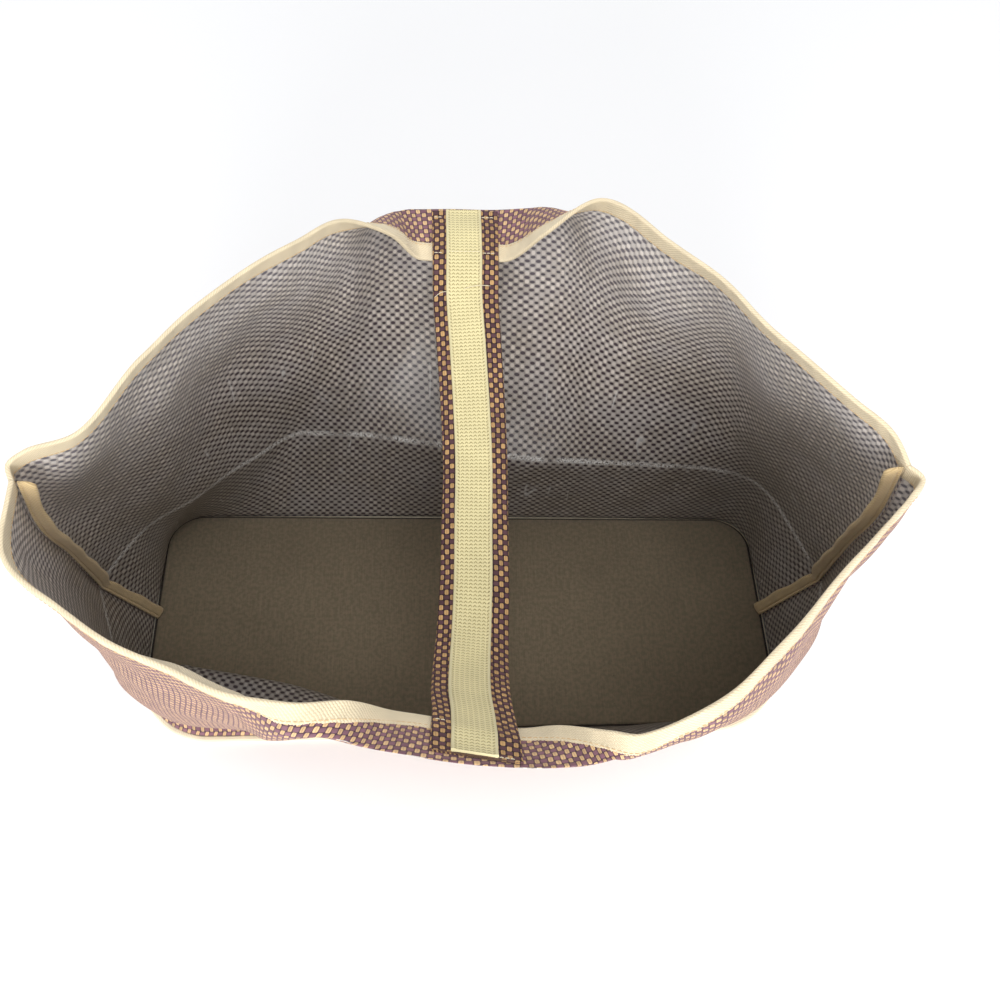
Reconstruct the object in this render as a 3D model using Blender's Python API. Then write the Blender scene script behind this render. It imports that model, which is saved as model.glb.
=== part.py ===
"""Burlap shopping bag, standing open on its stiffened base.

A front and a back panel of coarse plain-woven cloth meet in two side seams, each at the middle of
an end, and are sewn to a base panel all round. Beige tape binds the mouth, the side seams, whose
bound allowance stands inside, and the seam round the base. One broad handle, a burlap band with a
strip of webbing along its middle, is sewn to the outside of both panels and sags across the mouth.
It pulls the middle of each panel over, so the top edge folds inwards there.

The origin is at the middle of the base's underside: X runs along the base, Y to the back panel, Z up.
The tables are in millimetres, and the objects in metres.
"""

from collections import namedtuple
from math import cos, pi, radians, sin, sqrt

import bmesh
import bpy
import numpy as np

MM = 0.001

# Sizes in millimetres
BASE_LENGTH = 510
BASE_DEPTH = 198  # at its left end
BASE_NARROWING = 0.07  # share of its depth that it loses towards its right end
BACK, FRONT = 1, -1
BASE_CORNERS = {BACK: 31, FRONT: 57}
WALL_HEIGHT = 350  # cut height of a panel, from the base seam to the mouth
CREASE_HEIGHT = 98  # of the fold that stays from packing the bag flat, along the cloth
CLOTH = 1.4  # thickness of the laminated burlap
GAP = 0.3  # between sewn pieces

MOUTH_TAPE_INSIDE = 11  # width of the folded tape on the inner face
MOUTH_TAPE_OUTSIDE = 9
MOUTH_TAPE_GAP = 0.8
SEAM_TAPE_WIDTH = 9.5
SEAM_TAPE_THICKNESS = 3.0
SEAM_TAPE_STAND_OFF = 3.0  # from the middle of the cloth
SEAM_TAPE_TURNS = ((0, 50), (98, 35), (350, 0))  # degrees towards the back, by height on the cloth
BASE_TAPE_WIDTH = 4.2
BASE_TAPE_THICKNESS = 4.0
TAPE = 0.7  # thickness of the tape

BASE_OVERHANG = 1.5  # of the base panel beyond the walls' foot
BASE_PANEL = 2.0
BOARD_INSET = 3.2
BOARD = 3.0

BAND_WIDTH = 47
BAND = 3.0
WEBBING_WIDTH = 25
WEBBING = 1.6
WEBBING_OFFSET = -1.2  # of its middle from the band's
WEBBING_GAP = 0.6
HANDLE_SEWN = 32  # length of the handle sewn to each panel, from the mouth outwards
HANDLE_STAND_OFF = 5.3  # of the band's middle from the cloth's, over the mouth tape

PANEL_COLUMNS = 64
CORNER_STEPS = 8
SEWN_STEPS = 4
HANDLE_STEPS = 48
LOWER_ROWS = (0.0, 0.08, 0.2, 0.32, 0.41, 0.5, 0.59, 0.68, 0.8)  # shares of the cloth below the crease
UPPER_ROWS = (0.0, 0.1, 0.2, 0.32, 0.44, 0.56, 0.68, 0.77, 0.84, 0.9)  # of the cloth above it

UPPER_HEIGHT = WALL_HEIGHT - CREASE_HEIGHT
TAPE_ROW = 1 - MOUTH_TAPE_INSIDE / UPPER_HEIGHT
FOOT_Z = BASE_PANEL + GAP

# One row for each fold of a panel, from the left seam to the right one. share is the place along
# the panel's width. The crease and the edge are points in space, the crease's height following
# from its length of cloth. belly is how far the wall swells outwards halfway up, and flap is the
# length of the cloth's last stretch, whose angle from upright is lean, negative where it tips
# into the bag. knee is how far the wall below the crease is pushed in over the board.
Fold = namedtuple(
    "Fold", "share crease_x crease_y edge_x edge_y edge_z belly flap lean knee", defaults=(0,)
)

LEFT_SEAM = Fold(0.00, -274, -14, -250, -52, 319, 0, 34, -8)
RIGHT_SEAM = Fold(1.00, 274, -12, 241, -47, 320, 0, 34, -8)

BACK_FOLDS = (
    Fold(0.015, -268, -1, -253, -44, 321, 2, 34, -10),
    Fold(0.035, -259, 14, -244, -37, 325, 6, 34, -12),
    Fold(0.07, -247, 34, -217, -29, 328, 10, 34, -18),
    Fold(0.14, -213, 65, -185, 18, 337, 6, 34, -16),
    Fold(0.22, -171, 97, -148, 67, 337, 12, 34, -15),
    Fold(0.30, -126, 126, -105, 109, 333, 18, 34, -12),
    Fold(0.37, -81, 122, -73, 140, 320, 22, 34, -20),
    Fold(0.415, -52, 117, -48, 154, 294, 24, 38, -62),
    Fold(0.455, -25, 111, -28, 160, 264, 24, 44, -98),
    Fold(0.50, 3, 104, 2, 160, 263, 24, 44, -98),
    Fold(0.545, 31, 98, 29, 160, 262, 24, 45, -98),
    Fold(0.595, 67, 94, 55, 152, 295, 22, 42, -70),
    Fold(0.65, 101, 92, 84, 150, 327, 20, 34, -16),
    Fold(0.73, 154, 89, 124, 107, 336, 18, 34, -8),
    Fold(0.80, 200, 86, 154, 67, 340, 14, 34, -16),
    Fold(0.86, 234, 77, 177, 29, 340, 6, 34, -20),
    Fold(0.93, 257, 35, 213, -13, 335, 6, 34, -18),
    Fold(0.975, 267, 6, 235, -33, 326, 3, 34, -12),
)

FRONT_FOLDS = (
    Fold(0.035, -266, -32, -250, -73, 318, 0, 34, -6, 0),
    Fold(0.065, -259, -52, -247, -93, 318, -2, 34, 4, 0),
    Fold(0.13, -243, -92, -214, -125, 318, 0, 34, 4, 20),
    Fold(0.18, -214, -111, -187, -143, 317, 2, 34, 6, 47),
    Fold(0.232, -181, -119, -155, -157, 311, 4, 34, 7, 46),
    Fold(0.282, -147, -120, -124, -170, 309, 4, 30, 2, 39),
    Fold(0.329, -115, -120, -94, -173, 303, 2, 17, -44, 30),
    Fold(0.377, -84, -121, -65, -168, 290, 0, 22, -100, 18),
    Fold(0.437, -46, -124, -38, -165, 260, 0, 40, -134, 4),
    Fold(0.496, -4, -126, -3, -167, 247, 0, 46, -138, 0),
    Fold(0.538, 22, -126, 25, -169, 243, 0, 44, -137, 0),
    Fold(0.577, 52, -127, 48, -171, 255, 0, 32, -124, 2),
    Fold(0.626, 88, -131, 72, -180, 275, -3, 14, -74, 4),
    Fold(0.654, 107, -133, 86, -185, 286, -5, 9, -54, 4),
    Fold(0.692, 133, -131, 105, -182, 302, -5, 10, -26, 4),
    Fold(0.725, 157, -128, 123, -174, 313, -2, 20, -18, 4),
    Fold(0.785, 195, -118, 154, -150, 320, 0, 34, -12, 2),
    Fold(0.844, 230, -92, 182, -121, 321, -2, 34, -8, 0),
    Fold(0.913, 259, -58, 215, -89, 321, -6, 34, -2, 0),
    Fold(0.964, 269, -29, 239, -65, 320, -2, 34, -4, 0),
    Fold(0.985, 271, -20, 247, -54, 319, 0, 34, -6, 0),
)

# Middle of the band between the two edges of the mouth, and how far its right edge falls below
# its left one
Sag = namedtuple("Sag", "x y z fall", defaults=(0,))
HANDLE_SAGS = (
    Sag(3, 136, 256),
    Sag(5, 100, 241),
    Sag(7, 60, 227),
    Sag(8, 20, 215),
    Sag(7, -20, 207),
    Sag(6, -60, 201, 1),
    Sag(4, -95, 200, 4),
    Sag(2, -122, 212, 7),
    Sag(1, -145, 231, 9),
)


def smooth_curve(knots, values, at, overshoot=True):
    """A smooth curve through values at knots, read at each of the places in at.

    Without overshoot it stays between neighbouring values.
    """
    knots, values, at = (np.asarray(each, float) for each in (knots, values, at))
    steps = np.diff(knots)
    slopes = np.diff(values, axis=0) / steps[:, None]
    tangents = np.empty_like(values)
    weight = (steps[:-1] / (steps[:-1] + steps[1:]))[:, None]
    tangents[1:-1] = slopes[:-1] * (1 - weight) + slopes[1:] * weight
    if not overshoot:
        gentler = np.minimum(abs(slopes[:-1]), abs(slopes[1:]))
        limit = 3 * gentler * (slopes[:-1] * slopes[1:] > 0)
        tangents[1:-1] = np.clip(tangents[1:-1], -limit, limit)
    tangents[0] = 1.5 * slopes[0] - 0.5 * tangents[1]
    tangents[-1] = 1.5 * slopes[-1] - 0.5 * tangents[-2]
    span = np.clip(np.searchsorted(knots, at, side="right") - 1, 0, len(steps) - 1)
    width = steps[span][:, None]
    along = ((at - knots[span]) / steps[span])[:, None]
    square, cube = along**2, along**3
    return (
        (2 * cube - 3 * square + 1) * values[span]
        + (cube - 2 * square + along) * width * tangents[span]
        + (3 * square - 2 * cube) * values[span + 1]
        + (cube - square) * width * tangents[span + 1]
    )


def panel_width(side):
    """Width of a panel along its foot, from seam to seam."""
    return BASE_LENGTH + BASE_DEPTH - BASE_CORNERS[side] * (4 - pi)


def half_outline(share, side, offset=0.0):
    """The point at a share of the base's half outline, from the left seam round to the right one."""
    corner, width = BASE_CORNERS[side], panel_width(side)
    run = share * width
    mirrored = run > width / 2
    if mirrored:
        run = width - run
    turn = (run - BASE_DEPTH / 2 + corner) / corner
    if turn < 0:
        x, y = BASE_LENGTH / 2 + offset, run
    elif turn < pi / 2:
        reach = corner + offset
        x = BASE_LENGTH / 2 - corner + reach * cos(turn)
        y = BASE_DEPTH / 2 - corner + reach * sin(turn)
    else:
        x, y = width / 2 - run, BASE_DEPTH / 2 + offset
    x = x if mirrored else -x
    return np.array([x, side * y * (1 - BASE_NARROWING * (x / BASE_LENGTH + 0.5))])


def outward(share, side):
    """The level direction away from the bag, which turns evenly from seam to seam."""
    return np.array([-cos(pi * share), side * sin(pi * share), 0.0])


def fold_levels(fold, side):
    """The push of the knee, and the crease, belly, shoulder and edge of the wall at one fold."""
    foot = half_outline(fold.share, side)
    reach = sqrt((fold.crease_x - foot[0]) ** 2 + (fold.crease_y - foot[1]) ** 2)
    rise = sqrt(CREASE_HEIGHT**2 - fold.knee**2 - reach**2)
    out = outward(fold.share, side)
    up = np.array([0.0, 0.0, 1.0])
    push = np.array([0.0, -side * fold.knee, 0.0])
    crease = np.array([fold.crease_x, fold.crease_y, FOOT_Z + rise])
    edge = np.array([fold.edge_x, fold.edge_y, fold.edge_z], float)
    lean = radians(fold.lean)
    shoulder = edge - fold.flap * (cos(lean) * up + sin(lean) * out)
    chord = shoulder - crease
    swell = out - chord * (out @ chord) / (chord @ chord)
    belly = (crease + shoulder) / 2 + fold.belly * swell / np.linalg.norm(swell)
    return push, crease, belly, shoulder, edge


def wall_points(side, folds, shares, upper_rows):
    """Points of the middle of a panel's cloth, as rows from its foot to the mouth."""
    folds = (LEFT_SEAM, *folds, RIGHT_SEAM)
    knots = [fold.share for fold in folds]
    levels = np.array([fold_levels(fold, side) for fold in folds])
    foot = np.array([[*half_outline(share, side), FOOT_Z] for share in shares])
    curves = [
        smooth_curve(knots, levels[:, level], shares, overshoot=False)
        for level in range(levels.shape[1])
    ]
    push, crease = curves[:2]
    rows = [
        foot + (crease - foot) * height + push * (1 - cos(2 * pi * height)) / 2
        for height in LOWER_ROWS
    ]
    flaps = [[fold.flap / UPPER_HEIGHT] for fold in folds]
    flaps = smooth_curve(knots, flaps, shares, overshoot=False)
    upper = [
        smooth_curve((0, (1 - flap) / 2, 1 - flap, 1), column, upper_rows, overshoot=False)
        for flap, column in zip(flaps[:, 0], np.stack(curves[1:], axis=1))
    ]
    rows += list(np.stack(upper, axis=1))
    return np.array(rows)


def wall_normals(points, side, shares):
    """Outward directions of the cloth. At a side seam both panels share the one that halves it."""
    across = np.gradient(points, axis=1)
    along = np.gradient(points, axis=0)
    normals = np.cross(along, across) * side
    for column in (0, -1):
        seam = along[:, column]
        seam = seam / np.linalg.norm(seam, axis=1)[:, None]
        out = outward(shares[column], side)
        normals[:, column] = out - seam * (seam @ out)[:, None]
    return normals / np.linalg.norm(normals, axis=2)[..., None]


def panel_grid(side, folds):
    """The middle of a panel's cloth, drawn back from the other panel's at the side seams."""
    shares = np.linspace(0, 1, PANEL_COLUMNS + 1)
    points = wall_points(side, folds, shares, (*UPPER_ROWS, TAPE_ROW, 1))
    normals = wall_normals(points, side, shares)
    normals[0, :, 2] = 0
    for column in (0, -1):
        points[:, column, 1] += side * GAP / 2
    return points, normals


def new_object(name, vertices, faces, material):
    mesh = bpy.data.meshes.new(name)
    mesh.from_pydata([tuple(float(c) * MM for c in v) for v in vertices], [], faces)
    tidy = bmesh.new()
    tidy.from_mesh(mesh)
    bmesh.ops.recalc_face_normals(tidy, faces=tidy.faces)
    tidy.to_mesh(mesh)
    tidy.free()
    mesh.materials.append(material)
    mesh.shade_smooth()
    mesh.set_sharp_from_angle(angle=radians(40))
    obj = bpy.data.objects.new(name, mesh)
    bpy.context.collection.objects.link(obj)
    return obj


def loft(name, sections, material, closed=False, crossed=(2,)):
    """One solid through sections that have the same number of points.

    The quads on the crossed sides of a section are split along their other diagonal, so that both
    faces of a twisted strip bend along the same lines.
    """
    count, size = len(sections), len(sections[0])
    vertices = [point for section in sections for point in section]
    faces = []
    for i in range(count if closed else count - 1):
        here, there = i * size, (i + 1) % count * size
        for k in range(size):
            after = (k + 1) % size
            if k in crossed:
                faces.append((here + k, here + after, there + k))
                faces.append((here + after, there + after, there + k))
            else:
                faces.append((here + k, here + after, there + after))
                faces.append((here + k, there + after, there + k))
    if not closed:
        faces.append(tuple(range(size - 1, -1, -1)))
        faces.append(tuple(range((count - 1) * size, count * size)))
    return new_object(name, vertices, faces, material)


def thick_sheet(name, points, normals, thickness, material):
    """A sheet of cloth round a grid of points at its middle."""
    rows, columns = points.shape[:2]
    skins = [points + normals * thickness / 2, points - normals * thickness / 2]
    vertices = np.concatenate([skin.reshape(-1, 3) for skin in skins])
    inner = rows * columns
    faces = []
    for r in range(rows - 1):
        for c in range(columns - 1):
            a = r * columns + c
            b = a + columns
            faces += [(a, a + 1, b), (a + 1, b + 1, b)]
            faces += [
                (inner + a, inner + b, inner + a + 1),
                (inner + a + 1, inner + b, inner + b + 1),
            ]
    rim = list(range(columns))
    rim += [r * columns + columns - 1 for r in range(1, rows)]
    rim += [(rows - 1) * columns + c for c in range(columns - 2, -1, -1)]
    rim += [r * columns for r in range(rows - 2, 0, -1)]
    for here, there in zip(rim, rim[1:] + rim[:1]):
        faces.append((there, here, inner + here))
        faces.append((there, inner + here, inner + there))
    return new_object(name, vertices, faces, material)


def make_panel(name, side, folds, material):
    points, normals = panel_grid(side, folds)
    return thick_sheet(name, points, normals, CLOTH, material)


def make_mouth_binding(name, side, folds, material):
    """Tape folded over the top edge of one panel, a little wider on the inner face."""
    points, normals = panel_grid(side, folds)
    low, top = points[-2], points[-1]
    low_out, top_out = normals[-2], normals[-1]
    outer_low = top + (low - top) * MOUTH_TAPE_OUTSIDE / MOUTH_TAPE_INSIDE
    edge = np.gradient(top, axis=0)
    edge = edge / np.linalg.norm(edge, axis=1)[:, None]
    edge[[0, -1]] = 0  # there the fold stays in the seam's own plane
    up = top - low
    up = up - edge * (up * edge).sum(axis=1)[:, None]
    up = up / np.linalg.norm(up, axis=1)[:, None]
    inside = CLOTH / 2 + MOUTH_TAPE_GAP
    outside = inside + TAPE
    sections = zip(
        outer_low + low_out * outside,
        top + top_out * outside + up * (MOUTH_TAPE_GAP + TAPE),
        top - top_out * outside + up * (MOUTH_TAPE_GAP + TAPE),
        low - low_out * outside,
        low - low_out * inside,
        top - top_out * inside + up * MOUTH_TAPE_GAP,
        top + top_out * inside + up * MOUTH_TAPE_GAP,
        outer_low + low_out * inside,
    )
    return loft(name, list(sections), material, crossed=(0, 4, 5))


def make_seam_binding(name, share, material):
    """The bound seam allowance, standing into the bag along a side seam and turned to the back."""
    points = wall_points(BACK, BACK_FOLDS, [share], (*UPPER_ROWS, TAPE_ROW))[:, 0]
    heights = [row * CREASE_HEIGHT for row in LOWER_ROWS]
    heights += [CREASE_HEIGHT + row * UPPER_HEIGHT for row in (*UPPER_ROWS, TAPE_ROW)]
    turns = np.radians(np.interp(heights, *zip(*SEAM_TAPE_TURNS)))
    along = np.gradient(points, axis=0)
    inward = -outward(share, BACK)
    sections = []
    for point, direction, turn in zip(points, along, turns):
        direction = direction / np.linalg.norm(direction)
        level = inward - direction * (inward @ direction)
        level = level / np.linalg.norm(level)
        backward = np.cross(direction, level)
        backward = backward * np.sign(backward[1])
        flat = level * cos(turn) + backward * sin(turn)
        face = (backward * cos(turn) - level * sin(turn)) * SEAM_TAPE_THICKNESS / 2
        near = point + level * SEAM_TAPE_STAND_OFF
        far = near + flat * SEAM_TAPE_WIDTH
        sections.append((near - face, far - face, far + face, near + face))
    above_board = FOOT_Z + BOARD + 2 * GAP
    sections[0] = tuple(corner + (0, 0, above_board - corner[2]) for corner in sections[0])
    return loft(name, sections, material)


def base_outline(offset):
    """The base's whole outline, counter-clockwise seen from above."""
    outline = []
    for side in (FRONT, BACK):
        corner = BASE_CORNERS[side]
        turns = BASE_DEPTH / 2 - corner + corner * pi / 2 * np.linspace(0, 1, CORNER_STEPS + 1)
        shares = turns / panel_width(side)
        shares = [*shares, *(1 - shares[::-1])]
        outline += [half_outline(share, side, offset) for share in shares[:: -side]]
    return outline


def make_plate(name, offset, bottom, thickness, material):
    outline = base_outline(offset)
    sections = [[(x, y, z) for x, y in outline] for z in (bottom, bottom + thickness)]
    return loft(name, sections, material)


def make_base_binding(name, material):
    """Tape bound over the seam allowance that lies on the floor round the base."""
    inner = base_outline(BASE_OVERHANG + GAP)
    outer = base_outline(BASE_OVERHANG + GAP + BASE_TAPE_WIDTH)
    sections = [
        [(*far, 0), (*far, BASE_TAPE_THICKNESS), (*near, BASE_TAPE_THICKNESS), (*near, 0)]
        for near, far in zip(inner, outer)
    ]
    return loft(name, sections, material, closed=True)


def sewn_stretch(side, folds, x):
    """The band where it is sewn to a panel's outside, from its end to the mouth.

    Each row is a point of its middle and the direction across it.
    """
    shares = np.linspace(0, 1, PANEL_COLUMNS + 1)
    mouth = wall_points(side, folds, shares, [1])[-1]
    middle = np.interp(x, mouth[:, 0], shares)
    beside = BAND_WIDTH / 2 / panel_width(side)
    shares = (middle - beside, middle, middle + beside)
    heights = np.linspace(1 - HANDLE_SEWN / UPPER_HEIGHT, 1, SEWN_STEPS + 1)
    points = wall_points(side, folds, shares, heights)[len(LOWER_ROWS) :]
    normals = wall_normals(points, side, shares)
    across = points[:, 2] - points[:, 0]
    return np.hstack([points[:, 1] + normals[:, 1] * HANDLE_STAND_OFF, across])


def handle_path():
    """The band's middle and the directions across it, from its back end to its front one."""
    back = sewn_stretch(BACK, BACK_FOLDS, HANDLE_SAGS[0].x)
    front = sewn_stretch(FRONT, FRONT_FOLDS, HANDLE_SAGS[-1].x)
    middle = [(sag.x, sag.y, sag.z, BAND_WIDTH, 0, -sag.fall) for sag in HANDLE_SAGS]
    route = np.array([*back, *middle, *front[::-1]])
    steps = np.linalg.norm(np.diff(route[:, :3], axis=0), axis=1)
    runs = np.concatenate([[0], np.cumsum(steps)])
    path = smooth_curve(runs, route, np.linspace(0, runs[-1], HANDLE_STEPS + 1))
    return path[:, :3], path[:, 3:]


def make_strap(name, path, across, width, thickness, offset, lift, material):
    """A flat strip along a path, moved across it and lifted off it towards its upper face."""
    along = np.gradient(path, axis=0)
    along = along / np.linalg.norm(along, axis=1)[:, None]
    across = across - along * (across * along).sum(axis=1)[:, None]
    across = across / np.linalg.norm(across, axis=1)[:, None]
    face = np.cross(along, across)
    low, high = lift - thickness / 2, lift + thickness / 2
    left, right = across * (offset - width / 2), across * (offset + width / 2)
    corners = (left + face * low, right + face * low, right + face * high, left + face * high)
    return loft(name, list(zip(*(path + corner for corner in corners))), material)


def material(name, colour, roughness):
    made = bpy.data.materials.new(name)
    made.diffuse_color = (*colour, 1)
    made.use_nodes = True
    shader = made.node_tree.nodes["Principled BSDF"]
    shader.inputs["Base Color"].default_value = (*colour, 1)
    shader.inputs["Roughness"].default_value = roughness
    shader.inputs["Metallic"].default_value = 0
    return made


def main():
    for obj in list(bpy.data.objects):
        bpy.data.objects.remove(obj, do_unlink=True)
    burlap = material("burlap", (0.25, 0.17, 0.13), 0.75)
    tape = material("tape", (0.80, 0.66, 0.42), 0.8)
    webbing = material("webbing", (0.68, 0.62, 0.40), 0.8)
    board_cloth = material("board_cloth", (0.12, 0.10, 0.07), 0.85)

    make_panel("back_panel", BACK, BACK_FOLDS, burlap)
    make_panel("front_panel", FRONT, FRONT_FOLDS, burlap)
    make_plate("base_panel", BASE_OVERHANG, 0, BASE_PANEL, burlap)
    make_plate("base_board", -BOARD_INSET, BASE_PANEL + GAP, BOARD, board_cloth)
    make_mouth_binding("mouth_binding_back", BACK, BACK_FOLDS, tape)
    make_mouth_binding("mouth_binding_front", FRONT, FRONT_FOLDS, tape)
    make_seam_binding("seam_binding_left", 0.0, tape)
    make_seam_binding("seam_binding_right", 1.0, tape)
    make_base_binding("base_binding", tape)
    path, across = handle_path()
    make_strap("handle_band", path, across, BAND_WIDTH, BAND, 0, 0, burlap)
    lift = BAND / 2 + WEBBING_GAP + WEBBING / 2
    make_strap(
        "handle_webbing", path, across, WEBBING_WIDTH, WEBBING, WEBBING_OFFSET, lift, webbing
    )


main()
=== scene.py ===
"""Looks of the burlap shopping bag: its cloth, tape, webbing and sewing, with a floor, light and camera.

Each soft piece replaces the CAD node that it is named after. The tables of folds are the CAD model's
own, in its frame: the origin at the middle of the base's underside, X along the base, Y to the back
panel, Z up. They are in millimetres, and the objects in metres.
"""

from collections import namedtuple
from functools import partialmethod
from math import cos, pi, radians, sin, sqrt

import bpy
import numpy as np
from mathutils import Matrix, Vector


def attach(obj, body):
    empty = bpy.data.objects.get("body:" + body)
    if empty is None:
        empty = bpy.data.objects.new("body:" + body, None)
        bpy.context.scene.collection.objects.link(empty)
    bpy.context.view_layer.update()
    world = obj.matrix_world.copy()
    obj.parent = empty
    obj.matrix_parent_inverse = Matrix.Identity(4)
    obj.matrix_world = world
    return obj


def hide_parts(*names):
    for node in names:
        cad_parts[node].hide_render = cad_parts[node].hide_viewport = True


MM = 0.001

# Sizes of the bag, in millimetres
BASE_LENGTH = 510
BASE_DEPTH = 198  # at its left end
BASE_NARROWING = 0.07  # share of its depth that it loses towards its right end
BACK, FRONT = 1, -1
BASE_CORNERS = {BACK: 31, FRONT: 57}
WALL_HEIGHT = 350
CREASE_HEIGHT = 98
CLOTH = 1.3
THINNEST = 0.15  # share of the cloth's thickness that is left at its sharpest turn
GAP = 0.3
FOOT_FLARE_HEIGHT = 7  # of the walls' foot, which turns out over the base
FOOT_FLARE_OUT, FOOT_FLARE_UP = 2.0, 1.6
MOUTH_TAPE_INNER = 11  # width of the tape on each face
MOUTH_TAPE_OUTER = 9
MOUTH_TAPE = 0.6
MOUTH_TAPE_FROM_MIDDLE = 0.8  # of the cloth
TAPE_FLARE = 4.4  # how far the front tape's inner edge stands off the wall left of the handle
TAPE_FLARE_FROM, TAPE_FLARE_TO, TAPE_FLARE_EASE = 0.19, 0.33, 0.05  # shares of the panel
SEAM_TAPE_WIDTH = 9.5
SEAM_TAPE_THICKNESS = 3.2
SEAM_TAPE_STAND_OFF = 2.6
SEAM_TAPE_FROM, SEAM_TAPE_TO = 5, WALL_HEIGHT - 1  # heights on the cloth
SEAM_TAPE_TURNS = ((0, 50), (98, 35), (350, 0))  # degrees towards the back, by height on the cloth
SEAM_GROOVE_AT, SEAM_GROOVE_WIDTH = -2.3, 0.7  # from the middle of the tape
BASE_TAPE_WIDTH = 4.6
BASE_TAPE_THICKNESS = 4.0
BASE_OVERHANG = 1.1
BASE_PANEL = 2.0
BOARD_INSET = 1.4
BOARD = 3.0
BAND_WIDTH = 47
BAND = 2.8
WEBBING_WIDTH = 25
WEBBING = 1.6
WEBBING_OFFSET = -1.2
WEBBING_GAP = 0.25
HANDLE_SEWN = 32
HANDLE_STAND_OFF = 4.6
HANDLE_SINK = 2.8  # of the strap's sewn ends
HANDLE_THINNING = 0.45  # share of the band's thickness that the sewing takes there

# Pitches of the woven and knitted patterns
CHECK = 3.54
TWILL = 2.1
KNIT_COLUMN, KNIT_ROW = 3.0, 2.45
BOARD_YARN = 0.9

# Length of a stitch, gap to the next one and radius of the thread
HANDLE_STITCH = (2.4, 0.5, 0.28)
TAPE_STITCH = (2.5, 0.7, 0.2)
TAPE_STITCHES_UP = 1.4  # from the tape's lower edge
THREAD_RADIUS = 0.22

# Steps of the fine meshes
PANEL_COLUMNS = 300
PANEL_ROWS = 120
TAPE_COLUMNS = 900
SEAM_ROWS = 260
HANDLE_STEPS = 420
TURN_STEPS = 24  # of each corner of the base
SMOOTHING = 8  # passes that round the cloth where it turns
THREAD_SIDES = 6

UPPER_HEIGHT = WALL_HEIGHT - CREASE_HEIGHT
FOOT_Z = BASE_PANEL + GAP

# One row for each fold of a panel, from the left seam to the right one: the crease, the edge of the
# mouth, how far the wall swells between them, the length and lean of the cloth's last stretch, and
# how far the wall below the crease is pushed in over the board
Fold = namedtuple("Fold", "share crease_x crease_y edge_x edge_y edge_z belly flap lean knee", defaults=(0,))

LEFT_SEAM = Fold(0.00, -274, -14, -250, -52, 319, 0, 34, -8)
RIGHT_SEAM = Fold(1.00, 274, -12, 241, -47, 320, 0, 34, -8)

BACK_FOLDS = (
    (0.015, -268, -1, -253, -44, 321, 2, 34, -10),
    (0.035, -259, 14, -244, -37, 325, 6, 34, -12),
    (0.07, -247, 34, -217, -29, 328, 10, 34, -18),
    (0.14, -213, 65, -185, 18, 337, 6, 34, -16),
    (0.22, -171, 97, -148, 67, 337, 12, 34, -15),
    (0.30, -126, 126, -105, 109, 333, 18, 34, -12),
    (0.37, -81, 122, -73, 140, 320, 22, 34, -20),
    (0.415, -52, 117, -48, 154, 294, 24, 38, -62),
    (0.455, -25, 111, -28, 160, 264, 24, 44, -98),
    (0.50, 3, 104, 2, 160, 263, 24, 44, -98),
    (0.545, 31, 98, 29, 160, 262, 24, 45, -98),
    (0.595, 67, 94, 55, 152, 295, 22, 42, -70),
    (0.65, 101, 92, 84, 150, 327, 20, 34, -16),
    (0.73, 154, 89, 124, 107, 336, 18, 34, -8),
    (0.80, 200, 86, 154, 67, 340, 14, 34, -16),
    (0.86, 234, 77, 177, 29, 340, 6, 34, -20),
    (0.93, 257, 35, 213, -13, 335, 6, 34, -18),
    (0.975, 267, 6, 235, -33, 326, 3, 34, -12),
)

FRONT_FOLDS = (
    (0.035, -266, -32, -250, -73, 318, 0, 34, -6),
    (0.065, -259, -52, -247, -93, 318, -2, 34, 4),
    (0.13, -243, -92, -214, -125, 318, 0, 34, 4, 20),
    (0.18, -214, -111, -187, -143, 317, 2, 34, 6, 47),
    (0.232, -181, -119, -155, -157, 311, 4, 34, 7, 46),
    (0.282, -147, -120, -124, -170, 309, 4, 30, 2, 39),
    (0.329, -115, -120, -94, -173, 303, 2, 17, -44, 30),
    (0.377, -84, -121, -65, -168, 290, 0, 22, -100, 18),
    (0.437, -46, -124, -38, -165, 260, 0, 40, -134, 4),
    (0.496, -4, -126, -3, -167, 247, 0, 46, -138),
    (0.538, 22, -126, 25, -169, 243, 0, 44, -137),
    (0.577, 52, -127, 48, -171, 255, 0, 32, -124, 2),
    (0.626, 88, -131, 72, -180, 275, -3, 14, -74, 4),
    (0.654, 107, -133, 86, -185, 286, -5, 9, -54, 4),
    (0.692, 133, -131, 105, -182, 302, -5, 10, -26, 4),
    (0.725, 157, -128, 123, -174, 313, -2, 20, -18, 4),
    (0.785, 195, -118, 154, -150, 320, 0, 34, -12, 2),
    (0.844, 230, -92, 182, -121, 321, -2, 34, -8),
    (0.913, 259, -58, 215, -89, 321, -6, 34, -2),
    (0.964, 269, -29, 239, -65, 320, -2, 34, -4),
    (0.985, 271, -20, 247, -54, 319, 0, 34, -6),
)

# Middle of the band between the two edges of the mouth (x, y, z), and how far its right edge falls
# below its left one
HANDLE_SAGS = (
    (3, 136, 256, 0),
    (5, 100, 241, 0),
    (7, 60, 227, 0),
    (8, 20, 215, 0),
    (7, -20, 207, 0),
    (6, -60, 201, 1),
    (4, -95, 200, 4),
    (2, -122, 212, 7),
    (1, -145, 231, 9),
)

# Soft troughs and ridges pressed into a panel, from one place on the flat cloth to another: the run and
# height of both, the breadth, and the depth, which swells outwards where it is positive
BACK_PRESSES = (
    (70, 130, 120, 300, 22, -3.0),
    (150, 120, 175, 310, 26, 2.5),
    (215, 150, 205, 330, 18, -2.0),
    (430, 110, 500, 330, 24, -4.5),
    (520, 130, 545, 325, 26, 3.5),
    (590, 120, 580, 320, 20, -2.5),
    (300, 120, 390, 140, 20, 2.0),
)

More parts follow.
